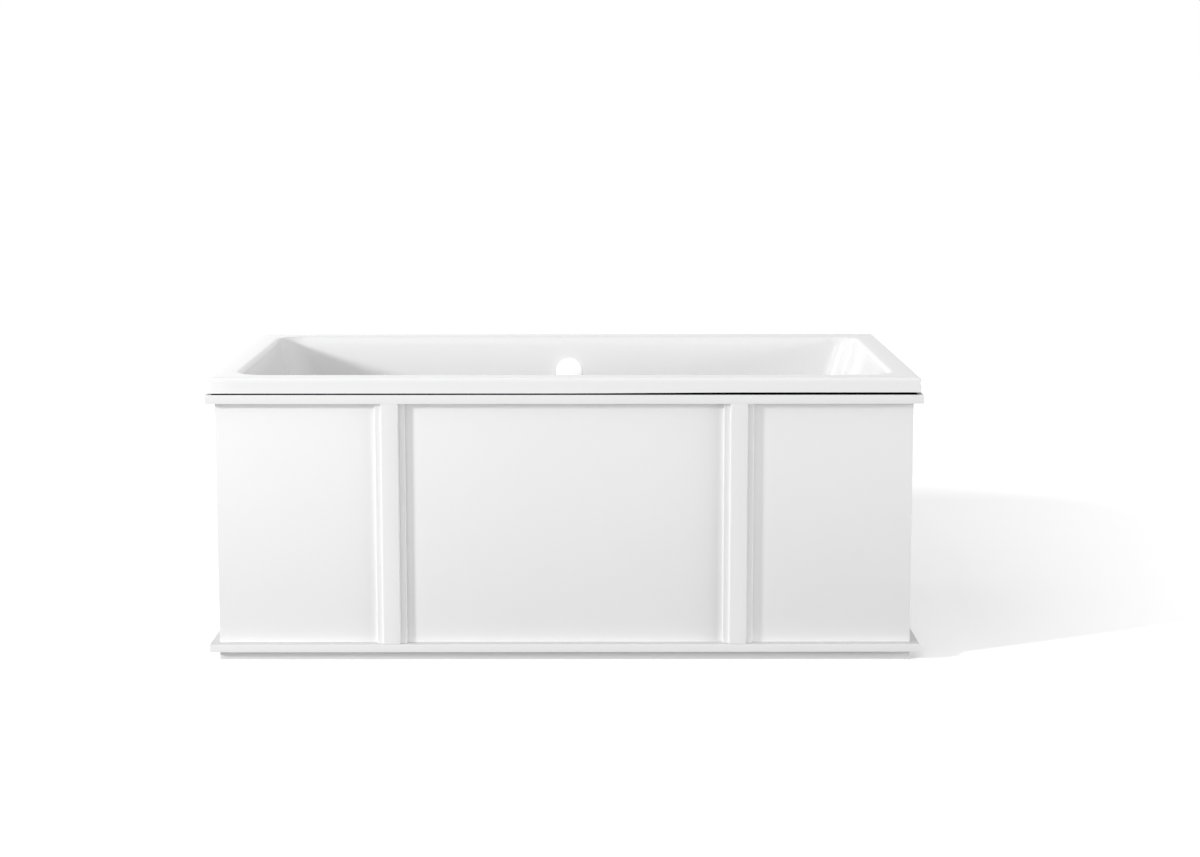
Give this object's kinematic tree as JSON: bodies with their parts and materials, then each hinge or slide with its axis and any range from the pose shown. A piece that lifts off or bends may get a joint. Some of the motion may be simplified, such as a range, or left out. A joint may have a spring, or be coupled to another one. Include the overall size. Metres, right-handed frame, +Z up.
{
  "type": "bathtub",
  "caption": "Rectangular cast iron bath with a flat rim, set in a freestanding white panelled surround with stepped pilasters, a shadow gap and a turn-to-open pop-up waste.",
  "frame": {"origin": "middle of the footprint, on the floor", "axes": "+X along the bath to the right, -Y towards the side shown in the picture, +Z up"},
  "size_m": [1.524, 0.914, 0.613],
  "materials": {
    "enamel": "gloss white porcelain enamel on cast iron",
    "painted_board": "satin white paint on board",
    "timber": "planed softwood",
    "zinc_steel": "zinc-plated steel",
    "raw_iron": "black primer on cast iron",
    "black_foam": "closed-cell foam",
    "black_rubber": "moulded rubber",
    "chrome": "polished chrome plate on brass",
    "white_cap": "gloss white powder coat on brass",
    "grey_plastic": "moulded ABS",
    "cable_sheath": "extruded PVC sheath"
  },
  "bodies": {
    "root": {"bath_shell": "enamel", "bath_feet": "raw_iron", "foot_studs": "zinc_steel", "levelling_screws": "zinc_steel", "lock_nuts": "zinc_steel", "floor_pads": "black_rubber", "rim_gasket": "black_foam", "cap_rail_front": "painted_board", "cap_rail_back": "painted_board", "cap_rail_left": "painted_board", "cap_rail_right": "painted_board", "ledge_front": "painted_board", "ledge_back": "painted_board", "ledge_left": "painted_board", "ledge_right": "painted_board", "plinth_front": "painted_board", "plinth_back": "painted_board", "plinth_left": "painted_board", "plinth_right": "painted_board", "front_panel": "painted_board", "back_panel": "painted_board", "left_panel": "painted_board", "right_panel": "painted_board", "pilaster_front_left": "painted_board", "pilaster_front_right": "painted_board", "pilaster_back_left": "painted_board", "pilaster_back_right": "painted_board", "corner_posts": "timber", "side_posts": "timber", "end_posts": "timber", "cap_rail_screws": "zinc_steel", "ledge_screws": "zinc_steel", "plinth_screws": "zinc_steel", "panel_screws": "zinc_steel", "drain_flange": "chrome", "flange_gasket": "black_rubber", "drain_washer": "black_rubber", "drain_body": "grey_plastic", "lift_cable": "cable_sheath", "overflow_body": "grey_plastic", "overflow_gasket": "black_rubber", "overflow_plate": "chrome", "plate_screws": "zinc_steel", "overflow_pipe": "grey_plastic", "slip_nuts": "grey_plastic", "slip_washers": "black_rubber"},
    "overflow_handle": {"overflow_cap": "white_cap", "cap_spindle": "zinc_steel", "spindle_cam": "zinc_steel"},
    "plug": {"drain_plug": "chrome", "plug_seal": "black_rubber", "plug_stem": "chrome"},
    "lift_gear": {"lift_lever": "zinc_steel", "lift_shaft": "zinc_steel", "crank_arm": "zinc_steel"},
    "wire": {"pull_wire": "zinc_steel"}
  },
  "joints": [
    {"name": "cap_turn", "type": "hinge", "parent": "root", "child": "overflow_handle", "pos_m": [0.003, 0.37616, 0.53], "axis": [0, -0.9962, 0.0872], "range_deg": [0, 90]},
    {"name": "plug_lift", "type": "slide", "parent": "root", "child": "plug", "axis": [0, 0, 1], "range_m": [0, 0.01]},
    {"name": "lever_turn", "type": "hinge", "parent": "root", "child": "lift_gear", "pos_m": [0.003, 0.187, 0.063], "axis": [1, 0, 0], "range_deg": [0, 32.3]},
    {"name": "wire_pull", "type": "slide", "parent": "root", "child": "wire", "axis": [0, 1, 0], "range_m": [0, 0.00798]}
  ],
  "couplings": [
    {"joint": "plug_lift", "follows": "cap_turn", "m_per_rad": 0.006366},
    {"joint": "lever_turn", "follows": "cap_turn", "ratio": 0.3584},
    {"joint": "wire_pull", "follows": "cap_turn", "m_per_rad": 0.00508}
  ]
}
